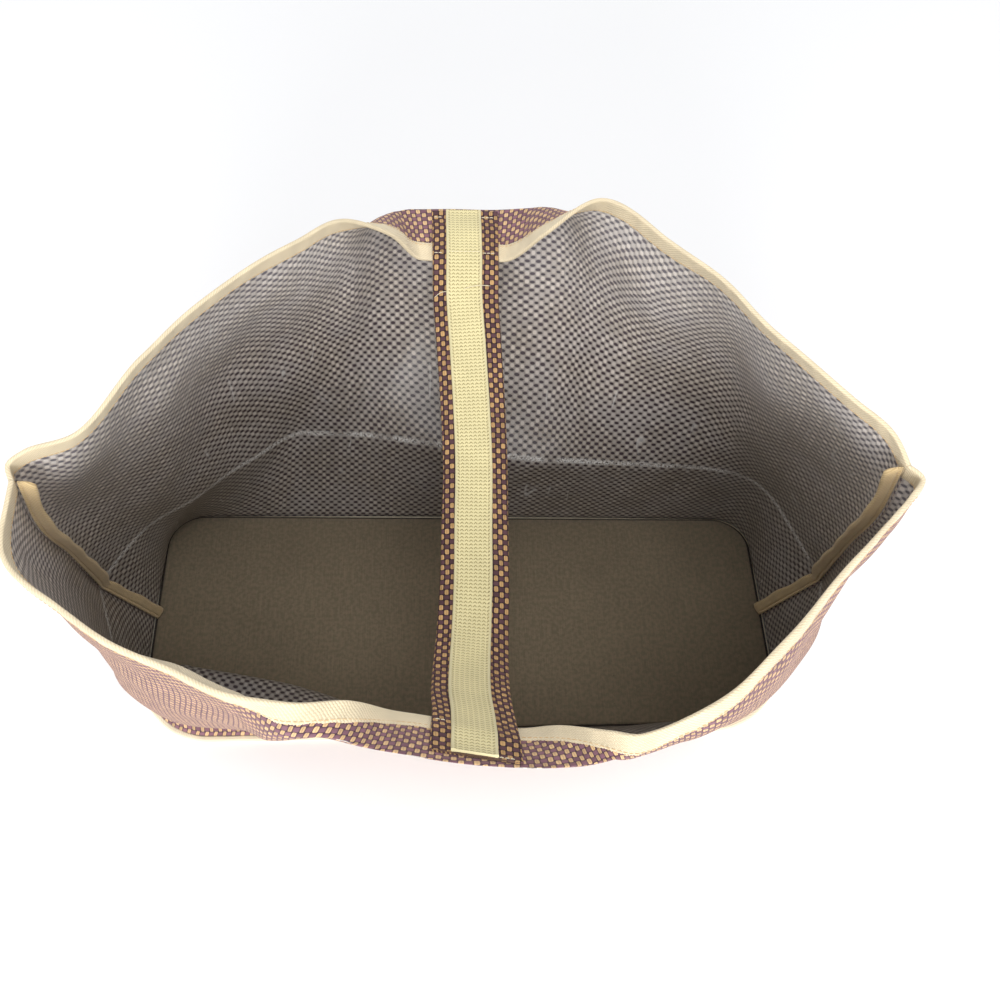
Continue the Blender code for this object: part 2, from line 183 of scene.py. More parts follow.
FRONT_PRESSES = (
    (60, 120, 110, 290, 20, -2.0),
    (120, 110, 165, 290, 18, 1.5),
    (210, 110, 190, 280, 26, 1.5),
    (470, 110, 480, 290, 24, -2.0),
    (540, 100, 520, 290, 20, 1.5),
    (610, 120, 590, 290, 18, -1.5),
)

FOLDS = {
    side: [LEFT_SEAM, *(Fold(*row) for row in rows), RIGHT_SEAM]
    for side, rows in ((BACK, BACK_FOLDS), (FRONT, FRONT_FOLDS))
}
PRESSES = {BACK: BACK_PRESSES, FRONT: FRONT_PRESSES}


# ---------------- the bag's surfaces


def smooth_curve(knots, values, at, overshoot=True):
    """A smooth curve through values at knots, read at each of the places in at."""
    knots, values, at = (np.asarray(each, float) for each in (knots, values, at))
    steps = np.diff(knots)
    slopes = np.diff(values, axis=0) / steps[:, None]
    tangents = np.empty_like(values)
    weight = (steps[:-1] / (steps[:-1] + steps[1:]))[:, None]
    tangents[1:-1] = slopes[:-1] * (1 - weight) + slopes[1:] * weight
    if not overshoot:
        gentler = np.minimum(abs(slopes[:-1]), abs(slopes[1:]))
        limit = 3 * gentler * (slopes[:-1] * slopes[1:] > 0)
        tangents[1:-1] = np.clip(tangents[1:-1], -limit, limit)
    tangents[0] = 1.5 * slopes[0] - 0.5 * tangents[1]
    tangents[-1] = 1.5 * slopes[-1] - 0.5 * tangents[-2]
    span = np.clip(np.searchsorted(knots, at, side="right") - 1, 0, len(steps) - 1)
    width = steps[span][:, None]
    along = ((at - knots[span]) / steps[span])[:, None]
    square, cube = along**2, along**3
    return (
        (2 * cube - 3 * square + 1) * values[span]
        + (cube - 2 * square + along) * width * tangents[span]
        + (3 * square - 2 * cube) * values[span + 1]
        + (cube - square) * width * tangents[span + 1]
    )


def smooth_step(value):
    value = np.clip(value, 0, 1)
    return value * value * (3 - 2 * value)


def unit(vectors):
    return vectors / np.linalg.norm(vectors, axis=-1, keepdims=True)


def panel_width(side):
    """Width of a panel along its foot, from seam to seam."""
    return BASE_LENGTH + BASE_DEPTH - BASE_CORNERS[side] * (4 - pi)


def half_outline(share, side, offset=0.0):
    """The point at a share of the base's half outline, from the left seam round to the right one."""
    corner, width = BASE_CORNERS[side], panel_width(side)
    run = share * width
    mirrored = run > width / 2
    if mirrored:
        run = width - run
    turn = (run - BASE_DEPTH / 2 + corner) / corner
    if turn < 0:
        x, y = BASE_LENGTH / 2 + offset, run
    elif turn < pi / 2:
        reach = corner + offset
        x = BASE_LENGTH / 2 - corner + reach * cos(turn)
        y = BASE_DEPTH / 2 - corner + reach * sin(turn)
    else:
        x, y = width / 2 - run, BASE_DEPTH / 2 + offset
    x = x if mirrored else -x
    return np.array([x, side * y * (1 - BASE_NARROWING * (x / BASE_LENGTH + 0.5))])


def outward(shares, side):
    """The level directions away from the bag, which turn evenly from seam to seam."""
    shares = np.asarray(shares, float)
    return np.stack([-np.cos(pi * shares), side * np.sin(pi * shares), 0 * shares], axis=-1)


def fold_levels(fold, side):
    """The push of the knee, and the crease, belly, shoulder and edge of the wall at one fold."""
    foot = half_outline(fold.share, side)
    reach = sqrt((fold.crease_x - foot[0]) ** 2 + (fold.crease_y - foot[1]) ** 2)
    rise = sqrt(CREASE_HEIGHT**2 - fold.knee**2 - reach**2)
    out = outward(fold.share, side)
    up = np.array([0.0, 0.0, 1.0])
    push = np.array([0.0, -side * fold.knee, 0.0])
    crease = np.array([fold.crease_x, fold.crease_y, FOOT_Z + rise])
    edge = np.array([fold.edge_x, fold.edge_y, fold.edge_z], float)
    lean = radians(fold.lean)
    shoulder = edge - fold.flap * (cos(lean) * up + sin(lean) * out)
    chord = shoulder - crease
    swell = out - chord * (out @ chord) / (chord @ chord)
    belly = (crease + shoulder) / 2 + fold.belly * swell / np.linalg.norm(swell)
    return push, crease, belly, shoulder, edge


def plain_wall(side, shares, heights):
    """Points of the middle of a panel's cloth at heights along it, without presses."""
    folds = FOLDS[side]
    knots = [fold.share for fold in folds]
    levels = np.array([fold_levels(fold, side) for fold in folds])
    foot = np.array([[*half_outline(share, side), FOOT_Z] for share in shares])
    curves = [
        smooth_curve(knots, levels[:, level], shares, overshoot=False)
        for level in range(levels.shape[1])
    ]
    heights = np.asarray(heights, float)
    lower = heights[heights < CREASE_HEIGHT] / CREASE_HEIGHT
    upper = (heights[heights >= CREASE_HEIGHT] - CREASE_HEIGHT) / UPPER_HEIGHT
    push, crease = curves[:2]
    rows = [foot + (crease - foot) * row + push * (1 - cos(2 * pi * row)) / 2 for row in lower]
    if len(upper):
        flaps = [[fold.flap / UPPER_HEIGHT] for fold in folds]
        flaps = smooth_curve(knots, flaps, shares, overshoot=False)
        columns = [
            smooth_curve((0, (1 - flap) / 2, 1 - flap, 1), column, upper, overshoot=False)
            for flap, column in zip(flaps[:, 0], np.stack(curves[1:], axis=1))
        ]
        rows += list(np.stack(columns, axis=1))
    return np.array(rows)


def pressing(presses, runs, heights, width):
    """How far out the presses and the cloth's slight waviness move each place."""
    run, height = np.meshgrid(runs, heights)
    moved = 0.5 * np.sin(run / 19 + height / 31) * np.sin(height / 23 - run / 47)
    moved += 0.35 * np.sin(run / 9.5 - height / 14 + 1)
    for from_run, from_height, to_run, to_height, breadth, depth in presses:
        x, y = run - from_run, height - from_height
        reach_x, reach_y = to_run - from_run, to_height - from_height
        length = np.linalg.norm((reach_x, reach_y))
        along = (x * reach_x + y * reach_y) / length**2
        beside = (x * reach_y - y * reach_x) / length
        ends = smooth_step((along + 0.15) / 0.4) * smooth_step((1.15 - along) / 0.4)
        moved += depth * ends * np.exp(-((beside / breadth) ** 2))
    at_seams = np.minimum(run, width - run) / 40
    return moved * smooth_step(at_seams) * smooth_step(height / 40)


def wall_normals(points, side, shares):
    """Outward directions of the cloth. At a side seam both panels share the one that halves it."""
    across = np.gradient(points, axis=1)
    along = np.gradient(points, axis=0)
    normals = np.cross(along, across) * side
    for column in (0, -1):
        seam = unit(along[:, column])
        out = outward(shares[column], side)
        normals[:, column] = out - seam * (seam @ out)[:, None]
    return unit(normals)


def cloth(side, shares, heights):
    """The middle of a panel's cloth and its outward directions, as rows from low to high."""
    points = plain_wall(side, shares, heights)
    # Only the panels' own rows are close enough to one another to be smoothed
    low, high = CREASE_HEIGHT - 6, WALL_HEIGHT - 8
    turning = [row for row, height in enumerate(heights) if low < height < high]
    for _ in range(SMOOTHING if len(heights) == PANEL_ROWS else 0):
        points[turning] = [(points[r - 1] + 2 * points[r] + points[r + 1]) / 4 for r in turning]
    normals = wall_normals(points, side, shares)
    width = panel_width(side)
    points += normals * pressing(PRESSES[side], np.array(shares) * width, heights, width)[..., None]
    normals = wall_normals(points, side, shares)
    for column in (0, -1):
        points[:, column, 1] += side * GAP / 2
    return points, normals


def sewn_stretch(side, x):
    """The band where it is sewn to a panel's outside, as rows of its middle and the way across."""
    shares = np.linspace(0, 1, 65)
    mouth = plain_wall(side, shares, [WALL_HEIGHT])[-1]
    middle = np.interp(x, mouth[:, 0], shares)
    beside = BAND_WIDTH / 2 / panel_width(side)
    shares = (middle - beside, middle, middle + beside)
    heights = np.linspace(WALL_HEIGHT - HANDLE_SEWN, WALL_HEIGHT, 5)
    points = plain_wall(side, shares, heights)
    normals = wall_normals(points, side, shares)
    across = points[:, 2] - points[:, 0]
    return np.hstack([points[:, 1] + normals[:, 1] * HANDLE_STAND_OFF, across])


def handle_strap():
    """The band's middle, the way across it and the way off its face, from its back end on."""
    back = sewn_stretch(BACK, HANDLE_SAGS[0][0])
    front = sewn_stretch(FRONT, HANDLE_SAGS[-1][0])
    middle = [(x, y, z, BAND_WIDTH, 0, -fall) for x, y, z, fall in HANDLE_SAGS]
    route = np.array([*back, *middle, *front[::-1]])
    runs = run_along(route[:, :3])
    route = smooth_curve(runs, route, np.linspace(0, runs[-1], HANDLE_STEPS + 1))
    path = route[:, :3]
    along = unit(np.gradient(path, axis=0))
    across = unit(route[:, 3:] - along * (route[:, 3:] * along).sum(axis=1)[:, None])
    return path, across, np.cross(along, across)


def run_along(points):
    """Distance along a line of points, from its first one."""
    steps = np.linalg.norm(np.diff(points, axis=0), axis=1)
    return np.concatenate([[0], np.cumsum(steps)])


def read_at(run, runs, line):
    """The point or direction at a run along a line of them."""
    return np.array([np.interp(run, runs, column) for column in line.T])


# ---------------- meshes


def add_object(name, data):
    obj = bpy.data.objects.new(name, data)
    bpy.context.collection.objects.link(obj)
    return obj


def add_mesh(name, vertices, faces, coordinates, materials, slots=None, sharp=50):
    """An object whose UV map, in millimetres, holds the place of each face corner on its cloth."""
    mesh = bpy.data.meshes.new(name)
    mesh.from_pydata((np.asarray(vertices) * MM).tolist(), [], faces)
    layer = mesh.uv_layers.new(name="Cloth")
    layer.data.foreach_set("uv", np.asarray(coordinates, np.float32).ravel())
    for made in materials:
        mesh.materials.append(made)
    if slots is not None:
        mesh.polygons.foreach_set("material_index", np.asarray(slots, np.int32))
    mesh.shade_smooth()
    mesh.set_sharp_from_angle(angle=radians(sharp))
    mesh.validate()
    return add_object(name, mesh)


def grid_faces(rows, columns, flip, first=0):
    """Quads between rows of vertices, turned the other way round where flip is true."""
    r, c = np.meshgrid(np.arange(rows - 1), np.arange(columns - 1), indexing="ij")
    corner = first + r * columns + c
    quads = np.stack([corner, corner + 1, corner + columns + 1, corner + columns], axis=-1)
    return (quads[..., ::-1] if flip else quads).reshape(-1, 4)


def add_sheet(name, points, normals, thickness, places, materials):
    """Cloth with an outer skin, an inner one and a rim. The inner skin has the second material."""
    rows, columns = points.shape[:2]
    skins = [points + normals * thickness / 2, points - normals * thickness / 2]
    vertices = np.concatenate([skin.reshape(-1, 3) for skin in skins])
    here = points[1, 1]
    outwards = np.cross(points[1, 2] - here, points[2, 1] - here) @ normals[1, 1] > 0
    outer = grid_faces(rows, columns, flip=not outwards)
    inner = grid_faces(rows, columns, flip=outwards, first=rows * columns)
    index = np.arange(rows * columns).reshape(rows, columns)
    rim = np.concatenate([index[0], index[1:, -1], index[-1, -2::-1], index[-2:0:-1, 0]])
    after, below = np.roll(rim, -1), rows * columns
    edge = np.stack([rim, rim + below, after + below, after], axis=-1)
    if not outwards:
        edge = edge[:, ::-1]
    faces = np.concatenate([outer, inner, edge])
    places = places.reshape(-1, 2)
    coordinates = np.concatenate([places, places])[faces]
    slots = np.repeat([0, 1, 0], [len(outer), len(inner), len(edge)])
    return add_mesh(name, vertices, faces.tolist(), coordinates, materials, slots)


def loft_parts(sections, closed=False):
    """Vertices, quads and UVs of a skin through sections: u runs round a section and v along them."""
    sections = np.asarray(sections, float)
    count, size = sections.shape[:2]
    ring = np.concatenate([sections, sections[:, :1]], axis=1)
    around = np.zeros((count, size + 1))
    around[:, 1:] = np.cumsum(np.linalg.norm(np.diff(ring, axis=1), axis=2), axis=1)
    middles = sections.mean(axis=1)
    along = run_along(np.concatenate([middles, middles[:1]]))
    i, k = np.meshgrid(np.arange(count if closed else count - 1), np.arange(size), indexing="ij")
    faces, coordinates = [], []
    for di, dk in ((0, 0), (0, 1), (1, 1), (1, 0)):
        faces.append((i + di) % count * size + (k + dk) % size)
        u = around[(i + di) % count, k + dk]
        coordinates.append(np.stack([u, along[i + di]], axis=-1))
    faces = np.stack(faces, axis=-1).reshape(-1, 4)
    coordinates = np.stack(coordinates, axis=2).reshape(-1, 4, 2)
    return sections.reshape(-1, 3), faces, coordinates


def add_loft(name, sections, materials, closed=False):
    vertices, faces, coordinates = loft_parts(sections, closed)
    count, size = np.asarray(sections).shape[:2]
    faces, coordinates = faces.tolist(), list(coordinates.reshape(-1, 2))
    if not closed:
        length = run_along(np.mean(sections, axis=1))[-1]
        first, last = range(size)[::-1], range((count - 1) * size, count * size)
        for end, v in ((list(first), 0.0), (list(last), length)):
            faces.append(end)
            coordinates += [(u, v) for u in run_along(vertices[end])]
    return add_mesh(name, vertices, faces, coordinates, materials)


def rounded_section(width, thickness, steps, edge=1.0):
    """A flat strip's outline with round edges, as (across, up) pairs counter-clockwise."""
    radius = thickness / 2 * edge
    flat = np.linspace(-1, 1, 9) * (width / 2 - radius)
    turns = np.linspace(-pi / 2, pi / 2, steps + 2)[1:-1]
    right = [(width / 2 - radius + radius * cos(t), thickness / 2 * sin(t)) for t in turns]
    bottom = [(x, -thickness / 2) for x in flat]
    top = [(x, thickness / 2) for x in flat[::-1]]
    left = [(-x, -y) for x, y in right]
    return np.array(bottom + right + top + left)


def round_faces(first, rings):
    """Quads and two ends of a thread whose rings of vertices begin at first."""
    faces = []
    last = first + (rings - 1) * THREAD_SIDES
    for ring in range(first, last, THREAD_SIDES):
        for k in range(THREAD_SIDES):
            a, b = ring + k, ring + (k + 1) % THREAD_SIDES
            faces.append((a, b, b + THREAD_SIDES, a + THREAD_SIDES))
    faces.append(tuple(range(first + THREAD_SIDES - 1, first - 1, -1)))
    faces.append(tuple(range(last, last + THREAD_SIDES)))
    return faces


def round_turns(across, lift):
    """Directions round a thread, evenly spread."""
    turns = (2 * pi * k / THREAD_SIDES for k in range(THREAD_SIDES))
    return [across * cos(turn) + lift * sin(turn) for turn in turns]


# Along a stitch: share of its length, share of its radius, and rise in radii
STITCH_PROFILE = (
    (0.0, 0.45, -0.9), (0.12, 0.85, -0.2), (0.5, 1.0, 0.35), (0.88, 0.85, -0.2), (1.0, 0.45, -0.9)
)


def stitch_parts(path, lifts, length, gap, radius):
    """Small round-ended stitches laid along a path, each sunk at its ends."""
    runs = run_along(path)
    vertices, faces = [], []
    for start in np.arange(0.0, runs[-1] - length, length + gap):
        here = np.array([read_at(start + share * length, runs, path) for share, _, _ in STITCH_PROFILE])
        lift = unit(read_at(start + length / 2, runs, lifts))
        across = unit(np.cross(unit(here[-1] - here[0]), lift))
        faces += round_faces(len(vertices), len(here))
        for point, (_, size, rise) in zip(here, STITCH_PROFILE):
            vertices += [point + radius * (rise * lift + size * way) for way in round_turns(across, lift)]
    return np.array(vertices), faces


def thread_parts(points, radius):
    """A loose thread along a line of points, tapered at its ends."""
    along = unit(np.gradient(points, axis=0))
    across = unit(np.cross(along, (0.3, 0.2, 0.9)))
    lift = np.cross(across, along)
    share = np.linspace(0, 1, len(points))
    sizes = radius * np.clip(np.minimum(share, 1 - share) * 12, 0.3, 1)
    vertices = []
    for point, a, b, size in zip(points, across, lift, sizes):
        vertices += [point + size * way for way in round_turns(a, b)]
    return np.array(vertices), round_faces(0, len(points))


def add_joined(name, parts, made):
    """One object from several (vertices, faces) pairs."""
    vertices, faces = [], []
    for points, polygons in parts:
        first = sum(len(each) for each in vertices)
        vertices.append(np.asarray(points))
        faces += [tuple(first + corner for corner in polygon) for polygon in polygons]
    corners = sum(len(polygon) for polygon in faces)
    return add_mesh(name, np.concatenate(vertices), faces, np.zeros((corners, 2)), [made])


# ---------------- materials


class Value:
    """A number in a material's nodes, on which arithmetic adds nodes."""

    def __init__(self, tree, socket):
        self.tree, self.socket = tree, socket

    def math(self, operation, *others):
        inputs = dict(enumerate((self, *others)))
        return add_node(self.tree, "ShaderNodeMath", inputs, operation=operation)

    __add__ = partialmethod(math, "ADD")
    __sub__ = partialmethod(math, "SUBTRACT")
    __mul__ = partialmethod(math, "MULTIPLY")
    __truediv__ = partialmethod(math, "DIVIDE")
    __pow__ = partialmethod(math, "POWER")
    floor = partialmethod(math, "FLOOR")
    fract = partialmethod(math, "FRACT")
    size = partialmethod(math, "ABSOLUTE")
    sine = partialmethod(math, "SINE")
    larger = partialmethod(math, "MAXIMUM")

    def less_from(self, whole):
        return (self * -1) + whole

    def step(self, low, high, bottom=0.0, top=1.0):
        """Smoothly from bottom to top as the number goes from low to high."""
        inputs = dict(enumerate((self, low, high, bottom, top)))
        return add_node(self.tree, "ShaderNodeMapRange", inputs, interpolation_type="SMOOTHSTEP")


def add_node(tree, kind, inputs, output=0, **settings):
    """What a new node gives, with numbers, colours or other nodes' values fed into it."""
    node = tree.nodes.new(kind)
    for key, setting in settings.items():
        setattr(node, key, setting)
    for key, value in inputs.items():
        feed(tree, node.inputs[key], value)
    return Value(tree, node.outputs[output])


def feed(tree, entry, value):
    if isinstance(value, Value):
        tree.links.new(value.socket, entry)
    elif isinstance(value, str):
        entry.default_value = colour(value)[: len(entry.default_value)]
    else:
        entry.default_value = value


def colour(code):
    """A Principled colour from an sRGB code such as c9a06a."""
    parts = [int(code[i : i + 2], 16) / 255 for i in (0, 2, 4)]
    return (*[p / 12.92 if p <= 0.04045 else ((p + 0.055) / 1.055) ** 2.4 for p in parts], 1.0)


class Finish:
    """A material with a Principled shader, and the nodes that its patterns share."""

    def __init__(self, name, roughness, sheen=0.0, coat=0.0):
        self.material = bpy.data.materials.new(name)
        self.material.use_nodes = True
        self.tree = self.material.node_tree
        self.shader = self.tree.nodes["Principled BSDF"]
        constants = {"Roughness": roughness, "Sheen Weight": sheen, "Coat Weight": coat}
        constants |= {"Sheen Roughness": 0.5, "Coat Roughness": 0.34, "Specular IOR Level": 0.3}
        for key, constant in constants.items():
            self.shader.inputs[key].default_value = constant
        place = self.tree.nodes.new("ShaderNodeUVMap")
        place.uv_map = "Cloth"
        split = self.tree.nodes.new("ShaderNodeSeparateXYZ")
        self.tree.links.new(place.outputs[0], split.inputs[0])
        self.u, self.v = (Value(self.tree, split.outputs[axis]) for axis in (0, 1))

    def triple(self, u, v, w):
        return add_node(self.tree, "ShaderNodeCombineXYZ", {0: u, 1: v, 2: w})

    def noise(self, size, detail=2.0, stretch=1.0, seed=0.0):
        """Soft noise about 0.5, of features about size mm, stretched along v."""
        place = self.triple(self.u / size, self.v / (size * stretch), seed)
        return add_node(self.tree, "ShaderNodeTexNoise", {"Vector": place, "Scale": 1.0, "Detail": detail})

    def each(self, a, b, seed=0.0):
        """A number from 0 to 1 for each pair of whole numbers."""
        return add_node(self.tree, "ShaderNodeTexWhiteNoise", {"Vector": self.triple(a, b, seed)})

    def mix(self, factor, a, b):
        inputs = {"Factor": factor, 6: a, 7: b}
        return add_node(self.tree, "ShaderNodeMix", inputs, output=2, data_type="RGBA")

    def scaled(self, tint, factor):
        """A colour made lighter or darker by a number."""
        inputs = {0: tint, "Scale": factor}
        return add_node(self.tree, "ShaderNodeVectorMath", inputs, operation="SCALE")

    def done(self, tint, height, depth):
        """Connects a colour and a height, which stands depth mm proud."""
        bump = self.tree.nodes.new("ShaderNodeBump")
        bump.inputs["Distance"].default_value = depth * MM
        bump.inputs["Strength"].default_value = 1.0
        feed(self.tree, bump.inputs["Height"], height)
        feed(self.tree, self.shader.inputs["Base Color"], tint)
        self.tree.links.new(bump.outputs[0], self.shader.inputs["Normal"])
        return self.material


def weave_cells(finish, wander):
    """Plain weave: which yarn lies on top in each cell, and the place in the cell from -1 to 1."""
    drift_u = (finish.noise(17, seed=1) - 0.5) * wander * 4 + (finish.noise(2.6, seed=5) - 0.5) * wander
    drift_v = (finish.noise(15, seed=2) - 0.5) * wander * 4 + (finish.noise(2.8, seed=6) - 0.5) * wander
    column, row = (finish.u + drift_u) / CHECK, (finish.v + drift_v) / CHECK
    parity = ((column.floor() + row.floor()) * 0.5).fract() * 2
    x, y = (column.fract() - 0.5) * 2, (row.fract() - 0.5) * 2
    return parity, x, y, column.floor(), row.floor()


def burlap_finish(name, beige, brown, gap, sheen=0.35):
    """Checked burlap: pairs of beige yarns up and down, and flat brown ones across, with painted shade
    between the yarns and along the split of each beige pair.
    """
    finish = Finish(name, 0.82, sheen=sheen)
    finish.shader.inputs["Sheen Tint"].default_value = colour("e8c8c0")
    parity, x, y, column, row = weave_cells(finish, 0.25)
    pick = finish.each(column, row)
    narrow = pick * 0.12 + 0.70
    block = ((x.size() / narrow) ** 3.5) + ((y.size() / 1.02) ** 4)
    beige_there = block.step(0.75, 1.2, 1.0, 0.0) * parity.less_from(1.0)
    across = ((x.size() / 1.12) ** 4) + ((y.size() / 0.86) ** 3)
    brown_there = across.step(0.6, 1.15, 1.0, 0.0) * parity
    strand = (x - (pick - 0.5) * 0.2).size().step(0.02, 0.22, 0.55, 1.0)
    fibre = finish.noise(0.55, detail=3, stretch=5)
    # Painted shade: each beige yarn is darker along the split between its two strands
    beige_tint = finish.scaled(beige, (pick * 0.35 + 0.75) * (strand * 0.35 + 0.65) * (fibre * 0.5 + 0.75))
    crossing = finish.noise(0.6, detail=3, stretch=0.25, seed=3)
    brown_tint = finish.scaled(brown, (crossing * 0.9 + 0.5) * (finish.each(row, column, 2.0) * 0.4 + 0.8))
    # Painted shade: the gap colour fills the spaces between the yarns
    tint = finish.mix(beige_there, finish.mix(brown_there, gap, brown_tint), beige_tint)
    crown_beige = ((y**2) * -0.45 + 1) * ((x**2) * -0.35 + 1) * strand
    crown_brown = ((x**2) * -0.4 + 0.9) * ((y**2) * -0.5 + 1)
    height = beige_there * crown_beige + brown_there * crown_brown + (fibre + crossing) * 0.12
    return finish.done(tint, height, 0.55)


def laminate_finish(name):
    """The inside: the same weave pressed flat under a thin clouded film, painted lighter towards the mouth as
    painted light, with a painted bluish-white reflection near the top.
    """
    finish = Finish(name, 0.5, coat=1.0)
    parity, x, y, column, row = weave_cells(finish, 0.3)
    pick = finish.each(column, row)
    oval = ((x.size() / (pick * 0.25 + 0.9)) ** 2) + ((y.size() / (pick * 0.2 + 0.62)) ** 2)
    dark_there = oval.step(0.55, 1.2, 1.0, 0.0) * parity
    patch = ((x.size() / 0.75) ** 3) + ((y.size() / 1.0) ** 3)
    light_there = patch.step(0.5, 1.3, 1.0, 0.0) * parity.less_from(1.0)
    ground = finish.mix(light_there, "a2978d", finish.scaled("d2c8bd", pick * 0.4 + 0.75))
    cloud = finish.noise(42, detail=3, seed=7).step(0.35, 0.7)
    ground = finish.mix(cloud * 0.25, ground, "cbc7cb")
    dark = finish.scaled("40343a", pick * 0.7 + 0.6)
    tint = finish.mix(dark_there, ground, dark)
    # Painted light: the cloth is darker low down and lighter towards the mouth, where more light falls into
    # the bag
    tint = finish.scaled(tint, finish.v.step(70, 330, 0.68, 1.42))
    # Painted reflection: a bluish-white sheen mixed into the colour near the top of the wall
    tint = finish.mix(finish.v.step(170, 345, 0.0, 0.2), tint, "d4dae4")
    crackle = finish.noise(1.6, detail=4, seed=9)  # of the packing crease, which whitens the film
    crease = (finish.v - CREASE_HEIGHT).size().step(0.5, 4.0, 1.0, 0.0)
    crease = crease * finish.noise(30, seed=4).step(0.3, 0.5) * crackle.step(0.4, 0.56)
    contour = (finish.noise(45, detail=1.5, stretch=3, seed=21) - 0.5).size()
    contour = contour.step(0.002, 0.008, 1.0, 0.0)
    scratch = contour * finish.noise(34, seed=15).step(0.54, 0.66) * 0.45
    tint = finish.mix((crease * 0.9).larger(scratch), tint, "e8e6e2")
    height = (light_there * 0.7) + (dark_there * -0.4) + crackle * 0.5
    return finish.done(tint, height, 0.22)


def tape_finish(name, cream, shade, speck):
    """Cotton twill tape, with slanted ribs, painted shade in the grooves between them, and a few dark specks.
    """
    finish = Finish(name, 0.85, sheen=0.25)
    run = finish.u * 1.1 + finish.v + (finish.noise(5, seed=2) - 0.5) * 1.2
    rib = (run * (2 * pi / TWILL)).sine()
    yarn = finish.noise(0.5, detail=3)
    cloudy = finish.noise(14, detail=3, seed=4)
    # Painted shade: the tape's shaded tone fills the grooves between the ribs
    tint = finish.mix(rib.step(-1.0, 0.9, 0.35, 1.0), shade, cream)
    tint = finish.scaled(tint, cloudy * 0.35 + 0.82)
    tint = finish.scaled(tint, yarn * 0.35 + 0.82)
    specks = finish.noise(1.7, detail=1, seed=8).step(0.78, 0.83)
    tint = finish.mix(specks * 0.7, tint, speck)
    return finish.done(tint, rib * 0.5 + yarn * 0.7, 0.22)


def webbing_finish(name):
    """Knitted cotton webbing: columns of small Vs between two corded edges, with painted shade in the Vs'
    pits and in the stitch holes.
    """
    finish = Finish(name, 0.86, sheen=0.2)
    across = finish.u - (WEBBING_WIDTH - WEBBING) / 2
    column = across / KNIT_COLUMN + 0.5
    fold = (column.fract() - 0.5).size()
    rise = (finish.v + (finish.noise(6, seed=3) - 0.5) * 0.8) / KNIT_ROW + fold * 1.1
    pit = (rise.fract() - 0.5).size().step(0.02, 0.2, 1.0, 0.0) * fold.step(0.06, 0.2)
    rail = (across.size() - 10.1).size().step(0.2, 0.75, 1.0, 0.0)
    hole = rail * ((finish.v / 2.7).fract() - 0.5).size().step(0.12, 0.3, 1.0, 0.0)
    edge = across.size().step(10.6, 10.9)
    cord = ((finish.v / 0.8).fract() - 0.5).size() * 2
    yarn = finish.noise(0.45, detail=3)
    # Painted shade: the knit's pits are darker
    tint = finish.mix(pit * edge.less_from(1.0), "e4d8a6", "a8955c")
    tint = finish.mix(edge * 0.7, tint, "dfd4a8")
    # Painted shade: dark brown in the stitch holes along each edge
    tint = finish.mix(hole * 0.3, tint, "6d5230")
    tint = finish.scaled(tint, (finish.noise(20, seed=5) * 0.25 + 0.87) * (yarn * 0.4 + 0.8))
    inner = edge.less_from(1.0)
    height = (pit * -1 + fold * 0.6) * inner - rail * 0.4 + cord * 0.5 * edge + yarn * 0.3
    return finish.done(tint, height, 0.4)


def board_finish(name):
    """The olive brown cloth over the stiffener: a fine plain weave with slight streaks, painted darker
    towards the back as painted shade.
    """
    finish = Finish(name, 0.9, sheen=0.1)
    yarn_u = (finish.u * (2 * pi / BOARD_YARN)).sine()
    yarn_v = (finish.v * (2 * pi / BOARD_YARN)).sine()
    streak = finish.noise(0.7, stretch=40, seed=1) + finish.noise(0.7, stretch=0.03, seed=2)
    mottle = finish.noise(3.2, detail=3, seed=3)
    tint = finish.mix(mottle.step(0.35, 0.65), "7b705a", "8a7a64")
    tint = finish.scaled(tint, streak * 0.45 + 0.55)
    tint = finish.scaled(tint, finish.noise(70, seed=6) * 0.3 + 0.85)
    # Painted shade: darker towards the back, where the back wall shades the board
    tint = finish.scaled(tint, finish.v.step(20, 95, 1.03, 0.88))
    specks = finish.noise(1.4, detail=1, seed=5).step(0.76, 0.8)
    tint = finish.mix(specks * 0.6, tint, "2a211c")
    return finish.done(tint, yarn_u + yarn_v + streak, 0.12)


def thread_finish(name, tint):
    finish = Finish(name, 0.7, sheen=0.2)
    finish.shader.inputs["Base Color"].default_value = colour(tint)
    return finish.material


# ---------------- the pieces


def replacing(piece, name):
    """Puts a piece in the place of a CAD node, and gives it back."""
    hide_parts(name)
    return piece


def thinned(points):
    """Share of its thickness that the cloth keeps, less where it turns back on itself."""
    steps = unit(np.diff(points, axis=0))
    bend = np.zeros(points.shape[:2])
    bend[1:-1] = 1 - (steps[1:] * steps[:-1]).sum(axis=2)
    reach = 5
    padded = np.pad(bend, ((reach, reach), (0, 0)))
    turned = sum(padded[r : r + len(bend)] for r in range(2 * reach + 1))
    return (1 - (1 - THINNEST) * smooth_step((turned - 0.1) / 0.35))[..., None]


def make_panel(name, side, materials):
    """A wall of cloth, whose UVs stretch so that the packing crease lies at its height."""
    shares = np.linspace(0, 1, PANEL_COLUMNS + 1)
    heights = np.linspace(0, WALL_HEIGHT, PANEL_ROWS)
    points, normals = cloth(side, shares, heights)
    normals[0, :, 2] = 0
    foot = smooth_step(1 - heights / FOOT_FLARE_HEIGHT)[:, None, None]
    points += foot * (outward(shares, side) * FOOT_FLARE_OUT + (0, 0, FOOT_FLARE_UP))
    steps = np.linalg.norm(np.diff(points, axis=0), axis=2)
    along = np.concatenate([np.zeros((1, len(shares))), np.cumsum(steps, axis=0)])
    crease = along[np.searchsorted(heights, CREASE_HEIGHT)]
    along = np.where(along < crease, along * CREASE_HEIGHT / crease, along - crease + CREASE_HEIGHT)
    places = np.stack([np.broadcast_to(shares * panel_width(side), along.shape), along], axis=-1)
    piece = add_sheet(name, points, normals, CLOTH * thinned(points), places, materials)
    return replacing(piece, name)


